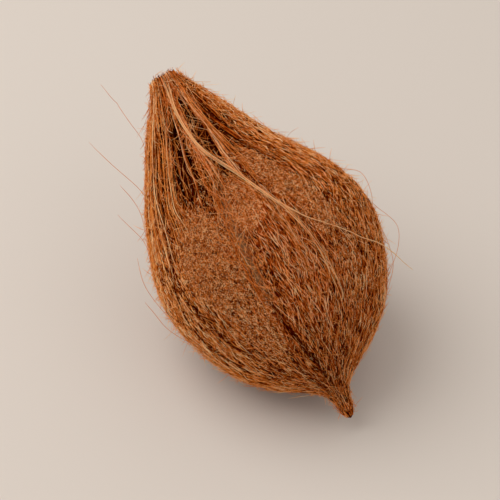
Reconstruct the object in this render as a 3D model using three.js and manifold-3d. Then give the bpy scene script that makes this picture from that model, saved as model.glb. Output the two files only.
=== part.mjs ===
// A husked coconut lying on its side, with the coir fibres still on it. They are combed up into a flat-ended
// tuft at the stem end, lie over the nut in strands, and run together into a small point at the other end.
// Millimetres, +Z up. The nut lies along +Y with its tuft raised, and rests on a flat spot at the origin.
import * as THREE from "three";
import { mergeVertices } from "three/addons/utils/BufferGeometryUtils.js";
import Module from "manifold-3d";

const { clamp, degToRad, lerp, smoothstep } = THREE.MathUtils;

// Driving dimensions. A station is a distance along the nut's own axis, from the tip of the point. An angle
// goes round that axis in degrees, with 90 on the nut's upper side.
const LENGTH = 177; // tip of the point to the cut end of the tuft
const TILT = 30; // the nut's axis above the horizontal
const FLAT_DEPTH = 2.2; // how much of the underside is pressed flat
const FLAT_REACH = 12; // ridges are pressed flat as far as this from the middle of the flat spot
const FLAT_FADE = 30; // and stand at full height from here

// Outline of the fibre coat, as [station, radius].
const COAT = [
  [0, 1.4], [3.5, 2.8], [9, 3.8], [14, 6.4], [19.5, 13.7], [25, 22.8], [30.5, 29.5], [36, 35.1],
  [48, 42.9], [58, 47.1], [69, 50.5], [80, 51.8], [91, 50.7], [103, 47.2], [118, 39.9], [130, 32.8],
  [142, 26.1], [152, 20.9], [163, 14.5], [172, 9.0], [177, 6.8],
];
const TIP_BULGE = 0.6; // how far the point's end is domed

// Outline of what the tuft stands round: the top of the nut and the slim core of fibres above it.
const CORE_FROM = 100;
const CORE = [
  [100, 47.8], [108, 42.6], [116, 34.8], [124, 26.6], [132, 19.0], [140, 13.8], [150, 9.8], [160, 7.3],
  [170, 5.4], [177, 4.5],
];

// How far the axis bows sideways, as [station, distance], towards BOW_ANGLE.
const BOW_ANGLE = 22;
const BOW = [
  [0, 1.2], [15, 2.1], [30, 2.9], [50, 3.7], [80, 3.9], [105, 3.1], [130, 0.4], [150, 0.7], [177, 2.3],
];

// Strands. Each one is a ridge on the nut, and stands free above its shoulder.
const STRANDS = 38;
const WANDER = 0.22; // how far a strand leaves its own meridian, as a share of the spacing
const CREST = 1.15; // mean height of a ridge above the coat's outline
const VALLEY = 1.0; // depth of the groove beside it
const NUT_ROWS = 21; // rings of the nut's surface up to its shoulder
const CORE_ROWS = 6; // and from there to the cut end
const ROW_CROWDING = 1.2; // how much closer the rings lie at the point

// A free strand has a three-cornered section, with its edge outward.
const STRAND_ROOT = 95; // station where it starts, inside the nut
const STRAND_LIFT = 16; // the length over which it rises out of the nut
const ROOT_DEPTH = 3.2;
const STRAND_WIDTH = 5.0; // at the shoulder of the nut
const STRAND_END_WIDTH = 1.3; // at the cut end
const STRAND_RISE = 1.7; // from its middle line to its edge
const STRAND_KEEL = 0.9; // and to its flat underside
const STRAND_INSET = 0.9; // its middle line below the coat's outline
const STRAND_LAYERS = 0.7; // how much that differs between strands
const END_RAGGED = 1.2; // how much the strands differ in length
const STRAND_STEPS = 7;

// Gaps between the strands of the tuft: where each is round the axis, its half width, and the stations that
// it opens between.
const GAP_OPENS = 14; // the length over which a gap grows to its full width
const GAP_CLOSES = 26; // and over which it closes
const GAPS = [
  { angle: 131, half: 9, from: 98, to: 166 },
  { angle: 103, half: 4.5, from: 112, to: 172 },
  { angle: 80, half: 4.5, from: 122, to: 172 },
  { angle: 159, half: 4, from: 116, to: 170 },
  { angle: 205, half: 5, from: 108, to: 168 },
  { angle: 262, half: 7, from: 104, to: 166 },
  { angle: 318, half: 5, from: 112, to: 170 },
  { angle: 15, half: 6, from: 106, to: 168 },
];

// Straps of fibre that cross the strands. A route's points are [station, angle, height above the coat].
const STRAP_KEEL = 2.2; // how deep a strap is seated
const STRAPS = [
  {
    width: 6.4, rise: 1.3, steps: 15,
    route: [
      [176, 104, 0.6], [160, 111, 1.6], [146, 116, 1.8], [130, 113, 1.6], [113, 106, 1.2], [98, 101, 1.0],
      [83, 90, 0.9], [70, 73, 0.8], [57, 32, 0.2],
    ],
  },
  {
    width: 5.4, rise: 1.1, steps: 12,
    route: [
      [112, 106, 0.3], [98, 102, 1.0], [85, 97, 1.1], [67, 93, 1.1], [50, 90, 1.0], [33, 89, 0.8],
      [18, 84, 0.2],
    ],
  },
  {
    width: 5.2, rise: 1.1, steps: 12,
    route: [
      [160, 122, -3.5], [140, 120, -2.0], [122, 120, 0.2], [105, 124, 0.9], [85, 124, 1.0], [60, 124, 1.0],
      [36, 119, 0.8], [18, 114, 0.1],
    ],
  },
  {
    width: 5.4, rise: 1.1, steps: 12,
    route: [
      [176, 84, 0.4], [160, 92, 1.5], [140, 96, 1.5], [118, 90, 1.2], [98, 78, 1.0], [80, 66, 0.8],
      [62, 60, 0.2],
    ],
  },
  {
    width: 5.4, rise: 1.1, steps: 12,
    route: [
      [176, 250, 0.4], [158, 243, 1.5], [138, 240, 1.6], [114, 246, 1.2], [92, 258, 1.0], [70, 272, 0.1],
    ],
  },
  {
    width: 5.4, rise: 1.1, steps: 12,
    route: [
      [176, 330, 0.4], [156, 338, 1.5], [134, 344, 1.5], [110, 348, 1.2], [84, 340, 1.0], [58, 330, 0.9],
      [34, 326, 0.1],
    ],
  },
];
const STRAP_END = 0.55; // width of a strap's ends, as a share of its own

// Loose fibres that arch off the coat, each value drawn between two limits.
const LOOSE = {
  count: 14, seed: 7, width: 0.9, rise: 0.5, keel: 0.3, steps: 6, footDepth: 1.6,
  station: [24, 128], angle: [-35, 215], reach: [14, 30], drift: [-16, 16], lift: [2.5, 6],
};

const wasm = await Module();
wasm.setup();

// A smooth curve through [x, y] points, as a function of x.
function curveThrough(points) {
  const last = points.length - 1;
  const slope = points.map((_, i) => {
    const [before, after] = [points[Math.max(i - 1, 0)], points[Math.min(i + 1, last)]];
    return (after[1] - before[1]) / (after[0] - before[0]);
  });
  return (x) => {
    const at = clamp(x, points[0][0], points[last][0]);
    let i = 0;
    while (i < last - 1 && at > points[i + 1][0]) i++;
    const span = points[i + 1][0] - points[i][0];
    const t = (at - points[i][0]) / span;
    return (
      (2 * t ** 3 - 3 * t ** 2 + 1) * points[i][1] +
      (t ** 3 - 2 * t ** 2 + t) * span * slope[i] +
      (3 * t ** 2 - 2 * t ** 3) * points[i + 1][1] +
      (t ** 3 - t ** 2) * span * slope[i + 1]
    );
  };
}

const coatRadius = curveThrough(COAT);
const coreRadius = curveThrough(CORE);
const bowAt = curveThrough(BOW);

// Repeatable random numbers from 0 to 1.
function randomFrom(seed) {
  let state = seed;
  return () => {
    state = (state * 16807) % 2147483647;
    return state / 2147483647;
  };
}

function outward(angle) {
  return new THREE.Vector3(Math.cos(degToRad(angle)), 0, Math.sin(degToRad(angle)));
}

// Where the axis is at a station, in the nut's own frame: its axis along +Y and its upper side at +Z.
function axisPoint(station) {
  return outward(BOW_ANGLE).multiplyScalar(bowAt(station)).setY(station);
}

function nutPoint(station, angle, radius) {
  return axisPoint(station).addScaledVector(outward(angle), radius);
}

// The nut's frame as it lies: raised by the tilt, then set down with its flat spot round the origin.
function restingFrame() {
  const turn = new THREE.Matrix4().makeRotationX(degToRad(TILT));
  let lowest = new THREE.Vector3(0, 0, Infinity);
  for (let station = 0; station <= LENGTH / 2; station += 0.25) {
    const point = nutPoint(station, 270, coatRadius(station)).applyMatrix4(turn);
    if (point.z < lowest.z) lowest = point;
  }
  const down = new THREE.Matrix4().makeTranslation(-lowest.x, -lowest.y, -lowest.z - FLAT_DEPTH);
  return down.multiply(turn);
}

const resting = restingFrame();

// A strand's angle. It wanders a little, and is pushed to the nearer side of each gap.
function strandAngle(strand, station) {
  const pitch = 360 / STRANDS;
  let angle = pitch * (strand + WANDER * Math.sin(station / 23 + 2.4 * strand));
  for (const gap of GAPS) {
    const off = ((angle - gap.angle + 540) % 360) - 180;
    const reach = 3 * gap.half;
    if (Math.abs(off) < reach) {
      const pushed = Math.sign(off || 1) * lerp(gap.half, reach, Math.abs(off) / reach);
      const opening = smoothstep(station, gap.from, gap.from + GAP_OPENS);
      const closing = smoothstep(station, gap.to - GAP_CLOSES, gap.to);
      angle += (pushed - off) * opening * (1 - closing);
    }
  }
  return angle;
}

// A share for the height of the ridges: less where the nut is pressed flat underneath, and at both ends.
function relief(station, angle) {
  const point = nutPoint(station, angle, coatRadius(station)).applyMatrix4(resting);
  const pressed = smoothstep(point.length(), FLAT_REACH, FLAT_FADE);
  return pressed * smoothstep(station, -2, 26) * (1 - 0.6 * smoothstep(station, 120, 160));
}

function ridgeHeight(strand, station) {
  const wave = 0.35 * Math.sin(station / 15 + 2.1 * strand) + 0.25 * Math.sin(station / 7 + 5.3 * strand);
  return CREST * (1 + wave);
}

function rowStation(row) {
  return row < NUT_ROWS
    ? CORE_FROM * (row / NUT_ROWS) ** ROW_CROWDING
    : lerp(CORE_FROM, LENGTH, (row - NUT_ROWS) / CORE_ROWS);
}

function geometryOf(points, faces) {
  return new THREE.BufferGeometry().setFromPoints(points).setIndex(faces);
}

// The nut with a ridge for each strand: a crest and a groove turn about, closed at both ends.
function nutGeometry() {
  const columns = 2 * STRANDS;
  const rows = NUT_ROWS + CORE_ROWS;
  const points = [];
  for (let row = 0; row <= rows; row++) {
    const station = rowStation(row);
    const radius = station < CORE_FROM ? coatRadius(station) : coreRadius(station);
    for (let strand = 0; strand < STRANDS; strand++) {
      const crest = strandAngle(strand, station);
      const groove = (crest + strandAngle(strand + 1, station)) / 2;
      points.push(
        nutPoint(station, crest, radius + ridgeHeight(strand, station) * relief(station, crest)),
        nutPoint(station, groove, radius - VALLEY * relief(station, groove)),
      );
    }
  }
  const tip = points.push(axisPoint(-TIP_BULGE).setY(-TIP_BULGE)) - 1;
  const end = points.push(axisPoint(LENGTH)) - 1;
  const lastRow = rows * columns;
  const faces = [];
  for (let column = 0; column < columns; column++) {
    const beside = (column + 1) % columns;
    for (let start = 0; start < lastRow; start += columns) {
      const [a, b, c, d] = [column, beside, column + columns, beside + columns].map((i) => i + start);
      faces.push(a, c, b, b, c, d);
    }
    faces.push(tip, column, beside, end, lastRow + beside, lastRow + column);
  }
  return geometryOf(points, faces);
}

// A blade with a three-cornered section, its edge outward, along points in the nut's frame. sizeAt gives
// its width, its rise above the points and its keel below them, at a share of its length.
function bladeGeometry(path, sizeAt) {
  const last = path.length - 1;
  const points = path.flatMap((at, i) => {
    const along = path[Math.min(i + 1, last)].clone().sub(path[Math.max(i - 1, 0)]).normalize();
    const out = at.clone().sub(axisPoint(at.y)).setY(0).normalize();
    const side = along.clone().cross(out).normalize();
    const up = side.clone().cross(along);
    const { width, rise, keel } = sizeAt(i / last);
    return [
      at.clone().addScaledVector(side, width / 2).addScaledVector(up, -keel),
      at.clone().addScaledVector(side, -width / 2).addScaledVector(up, -keel),
      at.clone().addScaledVector(up, rise),
    ];
  });
  const faces = [0, 2, 1, 3 * last, 3 * last + 1, 3 * last + 2];
  for (let i = 0; i < last; i++) {
    for (let corner = 0; corner < 3; corner++) {
      const [a, b] = [3 * i + corner, 3 * i + ((corner + 1) % 3)];
      faces.push(a, b, a + 3, b, b + 3, a + 3);
    }
  }
  return geometryOf(points, faces);
}

// A free strand of the tuft, from inside the nut's shoulder to the cut end.
function tuftStrand(strand) {
  const inset = STRAND_INSET + STRAND_LAYERS * Math.sin(1.9 * strand + 0.6);
  const end = LENGTH + END_RAGGED * Math.sin(2.7 * strand);
  const path = [];
  for (let i = 0; i <= STRAND_STEPS; i++) {
    const station = lerp(STRAND_ROOT, end, i / STRAND_STEPS);
    const sunk = ROOT_DEPTH * (1 - smoothstep(station, STRAND_ROOT, STRAND_ROOT + STRAND_LIFT));
    path.push(nutPoint(station, strandAngle(strand, station), coatRadius(station) - inset - sunk));
  }
  return bladeGeometry(path, (share) => ({
    width: lerp(STRAND_WIDTH, STRAND_END_WIDTH, share),
    rise: STRAND_RISE,
    keel: STRAND_KEEL,
  }));
}

// A strap over the strands, narrower at both ends.
function strapGeometry({ width, rise, steps, route }) {
  const curve = new THREE.CatmullRomCurve3(route.map((place) => new THREE.Vector3(...place)));
  const path = curve.getPoints(steps).map((place) => {
    const [station, angle, height] = place.toArray();
    return nutPoint(station, angle, coatRadius(station) + height);
  });
  return bladeGeometry(path, (share) => {
    const full = Math.sin(Math.PI * share) ** 0.5;
    return { width: width * lerp(STRAP_END, 1, full), rise, keel: STRAP_KEEL };
  });
}

// A loose fibre: an arch over the coat with both feet sunk in it.
function looseFibre(random) {
  const draw = ([low, high]) => lerp(low, high, random());
  const [station, angle, reach] = [draw(LOOSE.station), draw(LOOSE.angle), draw(LOOSE.reach)];
  const [drift, lift] = [draw(LOOSE.drift), draw(LOOSE.lift)];
  const path = [];
  for (let i = 0; i <= LOOSE.steps; i++) {
    const share = i / LOOSE.steps;
    const height = lerp(-LOOSE.footDepth, lift, Math.sin(Math.PI * share));
    const at = station + reach * share;
    path.push(nutPoint(at, angle + drift * share, coatRadius(at) + height));
  }
  return bladeGeometry(path, () => LOOSE);
}

// A closed solid in the resting frame, from a geometry in the nut's frame.
function solidOf(geometry) {
  const placed = geometry.clone().applyMatrix4(resting);
  placed.deleteAttribute("normal");
  placed.deleteAttribute("uv");
  const merged = mergeVertices(placed, 1e-4);
  return new wasm.Manifold(new wasm.Mesh({
    numProp: 3,
    vertProperties: merged.attributes.position.array,
    triVerts: new Uint32Array(merged.index.array),
  }));
}

// What lies below the surface that the nut rests on, in the nut's frame.
function belowSurface() {
  const block = new THREE.BoxGeometry(4 * LENGTH, 4 * LENGTH, LENGTH).translate(0, 0, -LENGTH / 2);
  return block.applyMatrix4(resting.clone().invert());
}

function coconutSolid() {
  const random = randomFrom(LOOSE.seed);
  const blades = [
    ...Array.from({ length: STRANDS }, (_, strand) => tuftStrand(strand)),
    ...STRAPS.map(strapGeometry),
    ...Array.from({ length: LOOSE.count }, () => looseFibre(random)),
  ];
  const nut = solidOf(nutGeometry());
  const whole = blades.reduce((solid, blade) => solid.add(solidOf(blade)), nut);
  return whole.subtract(solidOf(belowSurface()));
}

function meshOf(solid, name, material) {
  const { vertProperties, triVerts } = solid.getMesh();
  const geometry = new THREE.BufferGeometry();
  geometry.setAttribute("position", new THREE.BufferAttribute(vertProperties, 3));
  geometry.setIndex(new THREE.BufferAttribute(triVerts, 1));
  geometry.computeVertexNormals();
  const mesh = new THREE.Mesh(geometry, material);
  mesh.name = name;
  return mesh;
}

const coir = new THREE.MeshStandardMaterial({ color: 0x8a4f2b, roughness: 0.9, metalness: 0 });
const coconut = new THREE.Group();
coconut.add(meshOf(coconutSolid(), "coconut", coir));

export default coconut;
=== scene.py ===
"""The looks of a husked coconut: a felted nut under thousands of coir fibres, combed up into its tuft.

The nut's own measures are in millimetres and degrees, as stations along its axis from the tip of the point
and angles round that axis, with 90 on its upper side. place() turns them into metres in the frame's axes.
"""

import bpy
import numpy as np
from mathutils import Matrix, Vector


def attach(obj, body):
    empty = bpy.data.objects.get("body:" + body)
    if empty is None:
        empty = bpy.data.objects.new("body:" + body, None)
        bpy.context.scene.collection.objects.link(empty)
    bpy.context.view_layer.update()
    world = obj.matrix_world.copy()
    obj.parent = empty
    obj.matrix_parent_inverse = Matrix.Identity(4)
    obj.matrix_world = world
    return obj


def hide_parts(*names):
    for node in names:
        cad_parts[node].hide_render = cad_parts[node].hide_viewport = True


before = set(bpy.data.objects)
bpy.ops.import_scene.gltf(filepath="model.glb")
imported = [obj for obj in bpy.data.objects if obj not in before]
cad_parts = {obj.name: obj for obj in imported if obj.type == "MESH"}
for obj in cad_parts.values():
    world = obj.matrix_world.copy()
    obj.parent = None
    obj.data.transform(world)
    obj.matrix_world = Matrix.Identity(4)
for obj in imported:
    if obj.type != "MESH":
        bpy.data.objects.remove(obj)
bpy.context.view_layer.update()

# The nut's shape, as in the part's source.
LENGTH = 177.0
TILT = np.radians(30)
FLAT_DEPTH = 2.2
COAT = [
    (0, 1.4), (3.5, 2.8), (9, 3.8), (14, 6.4), (19.5, 13.7), (25, 22.8), (30.5, 29.5), (36, 35.1),
    (48, 42.9), (58, 47.1), (69, 50.5), (80, 51.8), (91, 50.7), (103, 47.2), (118, 39.9), (130, 32.8),
    (142, 26.1), (152, 20.9), (163, 14.5), (172, 9.0), (177, 6.8),
]
CORE_FROM = 100.0
CORE = [
    (100, 47.8), (108, 43.4), (116, 37.0), (124, 30.2), (132, 24.2), (140, 19.2), (150, 14.0), (160, 9.8),
    (170, 6.4), (177, 4.5),
]
BOW_ANGLE = np.radians(22)
BOW = [
    (0, 1.2), (15, 2.1), (30, 2.9), (50, 3.7), (80, 3.9), (105, 3.1), (130, 0.4), (150, 0.7), (177, 2.3),
]
FLOOR_GAP = 0.0002  # fibres near the surface lie this far above it, in metres

# The camera that took the photograph.
CAMERA_AZIMUTH, CAMERA_ELEVATION = np.radians(-34), np.radians(47)
CAMERA_DISTANCE = 1.1
CAMERA_TARGET = Vector((-0.00126, 0.02267, 0.04641))
FOCAL_PIXELS, FRAME_PIXELS = 2395, 500
SENSOR = 36.0

# A plain floor and soft light. Each light has a name, its distances left of the target, behind it and above
# it, its size and its power.
FLOOR_HALF = 3
FLOOR_COLOUR = (0.70, 0.62, 0.55)
FLOOR_ROUGHNESS = 0.9
SKY_COLOUR, SKY_STRENGTH = (1.0, 0.98, 0.95), 0.59
LIGHTS = [("key", 0.60, 0.12, 0.98, 1.2, 7.6), ("fill", -0.6, -0.5, 0.7, 0.8, 0.5)]


def curve_through(points):
    """A smooth curve through (x, y) points, as a function of x."""
    x, y = np.array(points, float).T
    slope = np.gradient(y, x)
    slope[1:-1] = (y[2:] - y[:-2]) / (x[2:] - x[:-2])

    def at(value):
        value = np.clip(value, x[0], x[-1])
        i = np.clip(np.searchsorted(x, value, side="right") - 1, 0, len(x) - 2)
        span = x[i + 1] - x[i]
        t = (value - x[i]) / span
        return (
            (2 * t**3 - 3 * t**2 + 1) * y[i]
            + (t**3 - 2 * t**2 + t) * span * slope[i]
            + (3 * t**2 - 2 * t**3) * y[i + 1]
            + (t**3 - t**2) * span * slope[i + 1]
        )

    return at


coat_radius = curve_through(COAT)
core_radius = curve_through(CORE)
bow_at = curve_through(BOW)


def off_angle(angle, centre):
    return (np.asarray(angle) - centre + 540) % 360 - 180


def facing(angle, centre, width):
    """1 at one angle round the axis, and fading to 0 about two widths to either side."""
    return np.exp(-((off_angle(angle, centre) / width) ** 2))


def smoothstep(low, high, x):
    t = np.clip((np.asarray(x, float) - low) / (high - low), 0, 1)
    return t * t * (3 - 2 * t)


def nut_radius(station, higher=0):
    """The felted nut, and the slim core of fibres that the tuft stands round, which may start higher up."""
    core = np.minimum(coat_radius(station), core_radius(station - higher))
    return np.where(station < CORE_FROM, coat_radius(station), core)


def turned(station, angle, radius):
    """A point of the nut with its axis raised by the tilt, in millimetres."""
    bow, angle = bow_at(station), np.radians(angle)
    x = bow * np.cos(BOW_ANGLE) + radius * np.cos(angle)
    z = bow * np.sin(BOW_ANGLE) + radius * np.sin(angle)
    y = np.broadcast_to(station, x.shape)
    return np.stack([x, y * np.cos(TILT) - z * np.sin(TILT), y * np.sin(TILT) + z * np.cos(TILT)], -1)


below = turned(np.arange(0, LENGTH / 2, 0.25), 270.0, coat_radius(np.arange(0, LENGTH / 2, 0.25)))
RESTS_AT = below[below[:, 2].argmin()] + (0, 0, FLAT_DEPTH)


def place(station, angle, radius):
    """A point of the nut as it lies, in metres."""
    return (turned(station, angle, radius) - RESTS_AT) / 1000


def field(seed, stations, angles):
    """A smooth random field on the nut, from -1 to 1, with this many cells along the axis and round it."""
    grid = np.random.default_rng(seed).uniform(-1, 1, (stations + 2, angles))

    def at(station, angle):
        y = np.clip(station / LENGTH, 0, 1) * stations
        x = np.asarray(angle) / 360 % 1 * angles
        i, j = np.floor(y).astype(int), np.floor(x).astype(int)
        v, u = smoothstep(0, 1, y - i), smoothstep(0, 1, x - j)
        j, k = j % angles, (j + 1) % angles
        low = grid[i, j] * (1 - u) + grid[i, k] * u
        high = grid[i + 1, j] * (1 - u) + grid[i + 1, k] * u
        return low * (1 - v) + high * v

    return at


# From broad swells of the nut down to the grain of its felt.
broad = field(1, 9, 14)
ridges = field(2, 16, 70)
strands = field(3, 34, 190)
sway = field(4, 7, 11)
clumping = field(5, 22, 120)
slits = field(6, 100, 280)
grain = field(7, 250, 480)

# Felted patches, where fuzz shows between few strands: station, angle, half length, half width in degrees,
# and how bare they are.
PATCHES = [
    (87, 142, 25, 17, 1.0), (60, 136, 30, 13, 0.6), (104, 112, 15, 12, 0.9), (109, 86, 17, 8.5, 1.0),
    (88, 79, 17, 8.5, 0.85), (62, 72, 24, 10, 0.3), (70, 215, 24, 14, 0.9), (82, 330, 20, 12, 0.9),
]
PATCH_EDGE = (0.6, 1.15)  # where its edge starts and ends, as squared shares of its size
PATCH_RAGGED = 0.22  # how much the edge wanders


def feltness(station, angle):
    """1 on the felted patches, and 0 where strands cover the nut."""
    felt = 0
    for at, centre, length, width, bare in PATCHES:
        far = ((station - at) / length) ** 2 + (off_angle(angle, centre) / width) ** 2
        edge = smoothstep(*PATCH_EDGE, far + PATCH_RAGGED * broad(station, angle))
        felt = np.maximum(felt, bare * (1 - edge))
    return felt


# The greyish seam from the tuft down to the point, as stations and angles.
SEAM = [
    (150, 116), (122, 119), (105, 119), (96, 121), (84, 121.8), (63, 123), (49, 123), (36, 121), (25, 119.5),
    (15.6, 119),
]
SEAM_HALF = 1.2  # millimetres, and more round its widest station
SEAM_WIDEST, SEAM_WIDENING, SEAM_SPREAD = 88, 1.6, 22
SEAM_STARTS, SEAM_STOPS = (12, 22), (112, 124)
SEAM_DUSTY = (52, 72)  # stations over which its dust sets in, going up

# Thin dark grooves between the strands on the left.
GROOVES = [
    [(113, 152), (107, 162), (90, 163), (76, 163), (65, 161), (54, 161), (44, 156), (35, 151.6), (28, 147)],
    [(97, 164), (81, 170), (68, 175), (55, 177), (44, 172), (33, 171)],
]
GROOVE_HALF = 0.6
GROOVE_STARTS, GROOVE_STOPS = 8, 6  # the lengths over which it sets in and stops


def beside(line, station, angle):
    """Millimetres from a line of stations and angles, and the line's lowest and highest stations."""
    stations, angles = np.array(line[::-1], float).T
    off = off_angle(angle, np.interp(station, stations, angles)) * np.radians(1) * coat_radius(station)
    return off, stations[0], stations[-1]


def seamness(station, angle):
    """1 along the greyish seam that runs down the nut to its point."""
    off = beside(SEAM, station, angle)[0]
    half = SEAM_HALF + SEAM_WIDENING * np.exp(-(((station - SEAM_WIDEST) / SEAM_SPREAD) ** 2))
    ends = smoothstep(*SEAM_STARTS, station) * (1 - smoothstep(*SEAM_STOPS, station))
    return np.exp(-((off / half) ** 2)) * ends


def grooved(station, angle):
    """1 along the thin grooves."""
    deep = 0
    for groove in GROOVES:
        off, low, high = beside(groove, station, angle)
        starts = smoothstep(low, low + GROOVE_STARTS, station)
        stops = smoothstep(high - GROOVE_STOPS, high, station)
        deep = np.maximum(deep, np.exp(-((off / GROOVE_HALF) ** 2)) * starts * (1 - stops))
    return deep


# The side of the tuft where short strands cross over its long ones: its middle, and where it ends.
CROSSED_ANGLE = 22
CROSSED_EDGE = (44, 58)


def crossed(angle):
    """1 on the tuft's crossed side, and 0 elsewhere."""
    return 1 - smoothstep(*CROSSED_EDGE, np.abs(off_angle(angle, CROSSED_ANGLE)))


def painted_light(station, angle):
    """Painted light: how much lighter the fibres are where the light falls, on the upper side right of the
    seam and on the left, than elsewhere.
    """
    right = facing(angle, 100, 20) * smoothstep(30, 55, station)
    left = facing(angle, 178, 30) * smoothstep(30, 60, station)
    return (0.19 * right + 0.08 * left) * (1 - smoothstep(100, 125, station))


def rosiness(station, angle):
    """0 where the fibres are ochre, as on the left, and 1 where they are rosy, as right of the seam."""
    right = facing(angle, 98, 26) * smoothstep(25, 45, station)
    left = facing(angle, 175, 38)
    return 0.48 + 0.30 * clumping(station, angle) + 0.32 * right - 0.30 * left


def relief(station, angle):
    """Ridges and grooves of the felted nut, in millimetres above its outline."""
    height = 0.45 * broad(station, angle) + 0.75 * ridges(station, angle) + 0.35 * strands(station, angle)
    height = height * (1 - 0.6 * feltness(station, angle)) - 0.9 * seamness(station, angle)
    height = height - 0.8 * grooved(station, angle)
    return height * smoothstep(-2, 30, station) * (1 - 0.5 * smoothstep(120, 160, station))


def skin(station, angle):
    """The nut's surface under its fibres. Its felt reaches higher up between two bundles of the tuft."""
    higher = 10 * facing(angle, 87, 13)
    return nut_radius(station, higher) + relief(station, angle)


def bed(station, angle):
    """What short strands lie on: the felted nut, or the tuft where they cross over it."""
    return skin(station, angle) + crossed(angle) * np.maximum(coat_radius(station) - nut_radius(station), 0)


# Hollows between the bundles of the tuft: station, angle and half width in degrees along each.
HOLLOWS = [
    [(108, 136, 0), (111, 136, 4), (114, 134, 8), (118.5, 132, 9.5), (126, 130, 9.5), (134, 128, 8.5),
     (146, 127.5, 8), (155, 125, 5), (163, 122, 1.5), (168, 121, 0)],
    [(122, 102, 0), (127, 102, 2.5), (133, 102, 4.5), (140, 101, 5.5), (149, 101, 6), (157, 102.8, 5),
     (166, 107, 2.5), (171, 108, 0)],
    [(126, 82, 0), (136, 82, 3.5), (145, 81, 4.5), (155, 79, 4), (164, 78, 2), (170, 78, 0)],
    [(118, 160, 0), (127, 159.5, 3.5), (138, 158.5, 4.5), (147, 159, 4.5), (155, 158, 3), (164, 153, 0)],
    [(104, 205, 0), (122, 205, 4), (148, 204, 3.5), (168, 203, 0)],
    [(100, 262, 0), (118, 262, 6), (142, 261, 5), (166, 260, 0)],
    [(108, 318, 0), (126, 318, 4), (148, 318, 4), (168, 318, 0)],
    [(102, 15, 0), (122, 15, 4), (146, 16, 4), (168, 17, 0)],
]
PARTED_REACH = 2.4


def parted(station, angle, share=1.0):
    """Angles of whole fibres, pushed to one side of each hollow. Stations run along the last axis.

    It also gives how far inside a hollow each fibre would have run, where 1 is its middle. A hollow pushes
    fibres as far away as PARTED_REACH times its half width.
    """
    angle = np.asarray(angle, float) + 0 * station
    inside = np.zeros(angle.shape[:-1])
    for hollow in HOLLOWS:
        stations, centres, halves = np.array(hollow, float).T
        half = share * np.interp(station, stations, halves)
        off = off_angle(angle, np.interp(station, stations, centres))
        widest = np.argmax(half, axis=-1)[..., None]
        side = np.where(np.take_along_axis(off, widest, -1) < 0, -1, 1)
        off = off * side
        reach = PARTED_REACH * half + 1e-6
        pushed = half + np.clip(off, 0, None) * (reach - half) / reach
        near = (np.abs(off) < reach) & (half > 0)
        push = np.where(near, side * (pushed - off) * smoothstep(0, 2.5, half), 0)
        for _ in range(3):
            push[..., 1:-1] = (push[..., :-2] + 2 * push[..., 1:-1] + push[..., 2:]) / 4
        angle = angle + push
        inside = np.maximum(inside, ((half > 2) * (1 - np.clip(off / np.maximum(half, 1), 0, 1))).max(-1))
    return angle, inside


def unit(v):
    return v / np.maximum(np.linalg.norm(v, axis=-1, keepdims=True), 1e-12)


def outward_at(station, angle):
    """Unit vector away from the nut's axis."""
    return unit(place(station, angle, 10.0 + 0 * angle) - place(station, angle, 0 * angle))


def finish_piece(mesh_object, material):
    mesh_object.data.materials.append(material)
    bpy.context.scene.collection.objects.link(mesh_object)
    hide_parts("coconut")
    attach(mesh_object, "root")
    return mesh_object


def mesh_from(name, points, corners, starts, uv, attributes):
    """A smooth-shaded mesh from flat arrays: corners are its faces' points, starts where each face begins."""
    mesh = bpy.data.meshes.new(name)
    mesh.vertices.add(len(points))
    mesh.vertices.foreach_set("co", points.astype(np.float32).ravel())
    mesh.loops.add(len(corners))
    mesh.loops.foreach_set("vertex_index", corners.astype(np.int32))
    mesh.polygons.add(len(starts))
    mesh.polygons.foreach_set("loop_start", starts.astype(np.int32))
    mesh.update(calc_edges=True)
    mesh.uv_layers.new(name="OFBake").uv.foreach_set("vector", uv.astype(np.float32).ravel())
    for key, values in attributes.items():
        kind, what = ("FLOAT_VECTOR", "vector") if values.ndim == 2 else ("FLOAT", "value")
        mesh.attributes.new(key, kind, "POINT").data.foreach_set(what, values.astype(np.float32).ravel())
    return bpy.data.objects.new(name, mesh)


CELL_MARGIN = 0.08


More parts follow.
